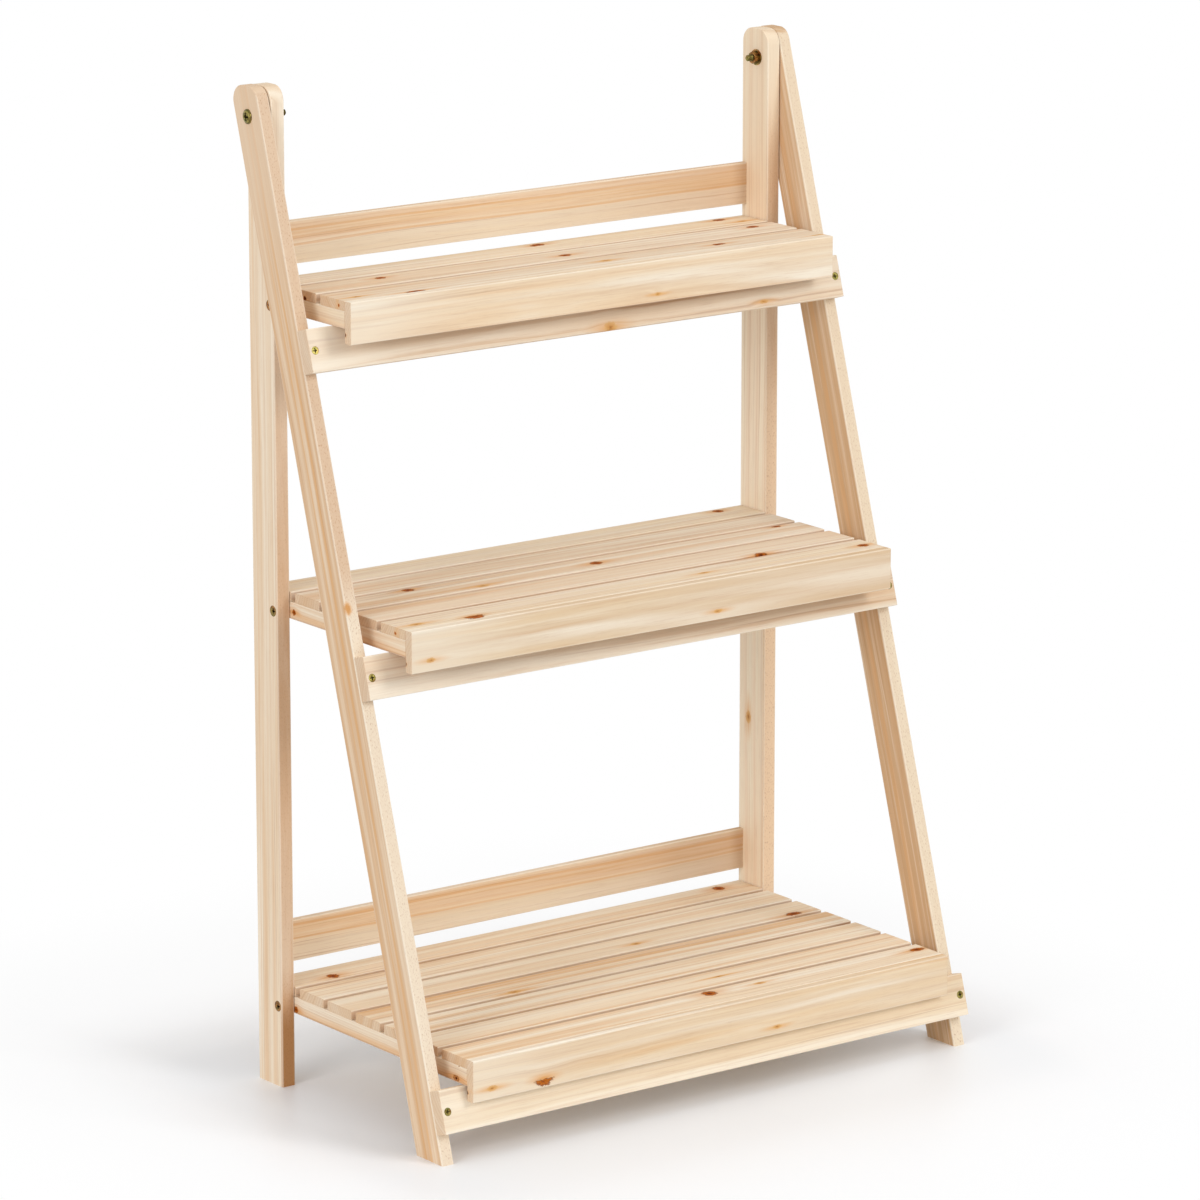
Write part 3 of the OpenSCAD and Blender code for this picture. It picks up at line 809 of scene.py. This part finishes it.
def threaded_shape(make, length):
    """A fastener's points, down its own axis, and each point's painted shade in recess and thread.

    The head's top falls from its crown by the fourth power of radius / head radius, less the cross
    recess, which is as deep as the smaller of the distances into its wings allows. Under it the
    radius follows the outline's corners. The thread's radius falls from the crest by a V of the
    fraction of depth / pitch - angle / turn, and the tip closes over one diameter.
    """
    angle = np.linspace(0, 2 * np.pi, make["columns"], endpoint=False)
    head, shank, crown = make["head"], make["shank"], make["crown"]

    def within(limit, rise, distance):
        """1 well within a limit, falling to 0 at it. Limit and rise are shares of the head."""
        return np.clip((head * limit - distance) / (head * rise), 0, 1)

    radius = np.concatenate([np.linspace(0.04, 0.7, 27), [0.8, 0.9, 0.96, 1.0]]) * head
    spread, angles = np.meshgrid(radius, angle, indexing="ij")
    near_wing = np.minimum(abs(spread * np.cos(angles)), abs(spread * np.sin(angles)))
    down_wing = np.maximum(abs(spread * np.cos(angles)), abs(spread * np.sin(angles)))
    wings = within(0.115, 0.035, near_wing) * within(0.62, 0.2, down_wing)
    recess_and_painted_shade = np.maximum(wings, within(0.4, 0.08, near_wing + down_wing))
    # Painted shade on the head: its recess and a ring round its rim
    rim = np.clip((spread / head - 0.9) / 0.06, 0, 1) * 0.6
    painted_head_shade = np.maximum(recess_and_painted_shade, rim)
    top = crown * (0.3 + 0.7 * (1 - (spread / head) ** 4)) if crown else 0 * spread
    deep = head * 0.42
    rows = [(recess_and_painted_shade * deep - top, spread, angles)]

    start, pitch, tip = make["thread_from"], make["pitch"], make["tip"]
    outline = np.array([*make["outline"], (start, shank)])
    rows.append([*np.repeat(outline.T[:, :, None], len(angle), 2), angles[: len(outline)]])
    down = np.arange(start + pitch / 6, length - tip, pitch / 6)
    down, turned = np.meshgrid(down, angle, indexing="ij")
    phase = np.mod(down / pitch - turned / (2 * np.pi), 1)
    vee = np.clip(1.25 - 2.5 * abs(phase - 0.5), 0, 1) * np.clip((down - start) / pitch, 0, 1)
    rows.append((down, shank - make["cut"] * vee, turned))
    end = np.array([(length - tip * 0.9, shank - make["cut"]), (length - 0.0001, make["end"])])
    rows.append([*np.repeat(end.T[:, :, None], len(angle), 2), angles[: len(end)]])

    depth, out, around = (np.concatenate([row[i] for row in rows]) for i in range(3))
    body = np.stack([out * np.cos(around), out * np.sin(around), depth], -1)
    points = np.concatenate([[[0, 0, deep - crown]], body.reshape(-1, 3), [[0, 0, length]]])
    # Painted shade of each point: none under the head, the thread's valleys, and some at the tip
    plain = np.zeros(len(outline) * len(angle))
    last = np.full(len(end) * len(angle) + 1, 0.3)
    painted_shade = np.concatenate([[1], painted_head_shade.ravel(), plain, vee.ravel() * 0.8, last])
    return points, painted_shade, len(body)


def separate_solids(node):
    """The corner points of each separate solid of a node, found by spreading lowest numbers."""
    mesh = frame["nodes"][node].data
    points, edges = np.empty(3 * len(mesh.vertices)), np.empty(2 * len(mesh.edges), int)
    mesh.vertices.foreach_get("co", points)
    mesh.edges.foreach_get("vertices", edges)
    places, same = np.unique(points.reshape(-1, 3).round(6), axis=0, return_inverse=True)
    one, other = same.ravel()[edges].reshape(-1, 2).T
    number, before = np.arange(len(places)), None
    while before is None or (number != before).any():
        before = number.copy()
        lowest = np.minimum(number[one], number[other])
        np.minimum.at(number, one, lowest)
        np.minimum.at(number, other, lowest)
    return [places[number == each] for each in np.unique(number)]


def cut_fasteners(node, way, make, zinc):
    """Gives each bolt or screw of a node, which lies along a way, its recess, thread and painted
    shade.
    """
    way = np.array(way)
    aside = np.cross(way, (0.0, 0.0, 1.0) if abs(way[2]) < 0.9 else (1.0, 0.0, 0.0))
    aside /= np.linalg.norm(aside)
    turn = np.array([aside, np.cross(way, aside), way])
    points, recess_and_painted_shade, faces = [], [], []
    for corners in separate_solids(node):
        local = corners @ turn.T
        middle = (local.min(0) + local.max(0)) / 2
        wide = np.hypot(*(local - middle)[:, :2].T)
        ahead = 1 if local[wide.argmax(), 2] < middle[2] else -1
        length = local[:, 2].max() - local[:, 2].min() - make["crown"]
        made, painted_shade, rows = threaded_shape(make, length)
        made = made * (1, ahead, ahead)
        made += (middle[0], middle[1], middle[2] - ahead * (length - make["crown"]) / 2)
        start = sum(len(done) for done in points)
        for part in closed_lathe(rows, make["columns"]):
            faces += (part + start).tolist()
        points.append(made @ turn)
        recess_and_painted_shade.append(painted_shade)
    piece = solid("cut_" + node, np.concatenate(points), faces)
    # Each point's painted shade, which the zinc darkens in recesses, threads and rims
    attribute = piece.data.attributes.new("recess_and_painted_shade", "FLOAT", "POINT")
    attribute.data.foreach_set("value", np.concatenate(recess_and_painted_shade))
    piece.data.materials.append(zinc)
    piece.data.polygons.foreach_set("use_smooth", np.ones(len(piece.data.polygons), bool))
    piece.data.set_sharp_from_angle(angle=math.radians(38))
    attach(piece, body_of(frame["nodes"][node])[0])
    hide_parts(node)


def wood_screw(diameter, head, columns=32):
    """Sizes of a countersunk screw of a diameter and a head's width in millimetres.

    Under the flat head a cone runs down to the shank, and the thread ends in a gimlet point.
    """
    fall = (head - diameter) / 2
    return {
        "head": head / 2 * MM,
        "shank": diameter / 2 * MM,
        "crown": 0.0,
        "outline": [(0.02 * MM, head / 2 * MM), (fall * MM, diameter / 2 * MM)],
        "thread_from": (fall + diameter) * MM,
        "pitch": diameter * 0.45 * MM,
        "cut": diameter * 0.16 * MM,
        "tip": diameter * MM,
        "end": 0.2 * MM,
        "columns": columns,
    }


# The M6 pan head bolt of the pivots
BOLT_HEAD, BOLT_SHANK = 6.75 * MM, 3.0 * MM
PIVOT_BOLT = {
    "head": BOLT_HEAD,
    "shank": BOLT_SHANK,
    "crown": 2.4 * MM,
    "outline": [(0, BOLT_HEAD), (0, 3.3 * MM), (0.3 * MM, BOLT_SHANK)],
    "thread_from": 24 * MM,
    "pitch": 1.0 * MM,
    "cut": 0.5 * MM,
    "tip": 0.6 * MM,
    "end": 2.2 * MM,
    "columns": 96,
}


def dress_fittings():
    """Gives the metal its zinc and the dowels their beech, and cuts the bolts and screws."""
    zinc = yellow_zinc("yellow_zinc", shade(174, 160, 90), shade(104, 88, 42))
    rosy = yellow_zinc("yellow_zinc_rosy", shade(184, 134, 74), shade(96, 56, 26))
    beech = dowel_beech()
    for node, piece in frame["nodes"].items():
        if board_kind(node) is None:
            piece.data.materials.clear()
            piece.data.materials.append(beech if "dowels" in node else rosy)
    cut_fasteners("pivot_bolts", X, PIVOT_BOLT, zinc)
    cut_fasteners("cross_rail_screws", OUT_OF_LEG, wood_screw(4, 7.5, 80), zinc)
    cut_fasteners("back_rail_screws", Y, wood_screw(3.5, 6.8, 48), zinc)
    for shelf in ("top", "middle", "bottom"):
        cut_fasteners(shelf + "_hinge_screws", X, wood_screw(5, 10, 80), rosy)
        cut_fasteners(shelf + "_slat_screws", Z, wood_screw(3.5, 6.8), zinc)


# ---- studio ----

WHITE = (1, 1, 1, 1)
FLOOR_HALF = 30.0
# Half of the stand's width and depth, round which the floor keeps its shadow and a painted shadow
FOOTPRINT = (0.3, 0.16)
# Each soft lamp: its name, its place, its size in metres and its power in watts
LAMPS = (
    ("key_lamp", (1.6, -4.0, 3.0), 1.8, 80),
    ("top_lamp", (0.2, -0.6, 6.0), 2.2, 26),
    ("side_lamp", (-4.8, -1.4, 2.2), 2.2, 84),
)
LAMPS_AIM = Vector((0, 0, 0.45))


def even_sky():
    """A white sky that shows brighter than it lights."""
    world = bpy.data.worlds.new("studio")
    bpy.context.scene.world = world
    sky = Finish(world)
    soft = sky.add("ShaderNodeBackground", {"Color": WHITE, "Strength": 0.64})
    bright = sky.add("ShaderNodeBackground", {"Color": WHITE, "Strength": 1.0})
    seen = sky.seen_by("Camera", "Glossy", "Transmission")
    room = sky.add("ShaderNodeMixShader", {0: seen, 1: soft, 2: bright})
    sky.add("ShaderNodeOutputWorld", {"Surface": room})


def pale_floor():
    """A floor that keeps the shadow near the stand, adds painted shadow there, and fades to white
    beyond.
    """
    mesh = bpy.data.meshes.new("studio_floor")
    far = FLOOR_HALF
    corners = [(-far, -far, 0), (far, -far, 0), (far, far, 0), (-far, far, 0)]
    mesh.from_pydata(corners, [], [(0, 1, 2, 3)])
    floor = bpy.data.objects.new("studio_floor", mesh)
    bpy.context.scene.collection.objects.link(floor)
    paint = Finish(bpy.data.materials.new("pale_floor"))
    x, y, _ = paint.split(paint.here())
    beside = paint.most(abs(x) - FOOTPRINT[0], 0.0) * 1.7
    before = paint.most(abs(y) - FOOTPRINT[1], 0.0)
    away = (beside * beside + before * before) ** 0.5
    # Painted shadow: the floor's tone is a little darker near the stand than away from it
    tone = paint.blend(paint.step(away, 0.05, 0.16), shade(246, 248, 251), shade(252, 253, 255))
    matt = paint.skin({"Base Color": tone, "Roughness": 0.42, "Specular IOR Level": 0.35})
    glow = paint.seen_by("Camera", "Glossy") * 0.3 + 0.7
    blank = paint.add("ShaderNodeEmission", {"Color": WHITE, "Strength": glow})
    fade = paint.step(away, 0.07, 0.28) * 0.65 + paint.step(away, 0.18, 0.6) * 0.35
    shader = paint.add("ShaderNodeMixShader", {0: fade, 1: matt, 2: blank})
    mesh.materials.append(paint.surface(shader))


def studio():
    """White room: an even sky, a pale floor and three soft lamps."""
    scene = bpy.context.scene
    scene.view_settings.view_transform = "Standard"
    even_sky()
    pale_floor()
    for name, place, size, power in LAMPS:
        lamp = bpy.data.lights.new(name, "AREA")
        lamp.shape = "SQUARE"
        lamp.size = size
        lamp.energy = power
        stand = bpy.data.objects.new(name, lamp)
        stand.location = place
        stand.rotation_euler = (LAMPS_AIM - Vector(place)).to_track_quat("-Z", "Y").to_euler()
        stand.visible_camera = False
        scene.collection.objects.link(stand)


def camera():
    """The picture's viewpoint, fitted to it: far off, left of the front and a little above."""
    round_left, above, away = math.radians(-36.68), math.radians(13.63), 5.89142
    aside, lift, long_side_px, focal_px = -0.02815, -0.0017, 1200, 6479.45
    aim = Vector((0, -0.03009, 0.45))
    level = math.cos(above)
    back = Vector((math.sin(round_left) * level, -math.cos(round_left) * level, math.sin(above)))
    right = Vector((math.cos(round_left), math.sin(round_left), 0))
    up = back.cross(right)
    lens = bpy.data.cameras.new("camera")
    lens.sensor_width = 36
    lens.lens = focal_px / long_side_px * lens.sensor_width
    eye = bpy.data.objects.new("camera", lens)
    eye.location = aim + back * away + right * aside + up * lift
    eye.rotation_euler = Matrix((right, up, back)).transposed().to_euler()
    bpy.context.scene.collection.objects.link(eye)
    bpy.context.scene.camera = eye


camera()
dress_boards()
dress_fittings()
studio()
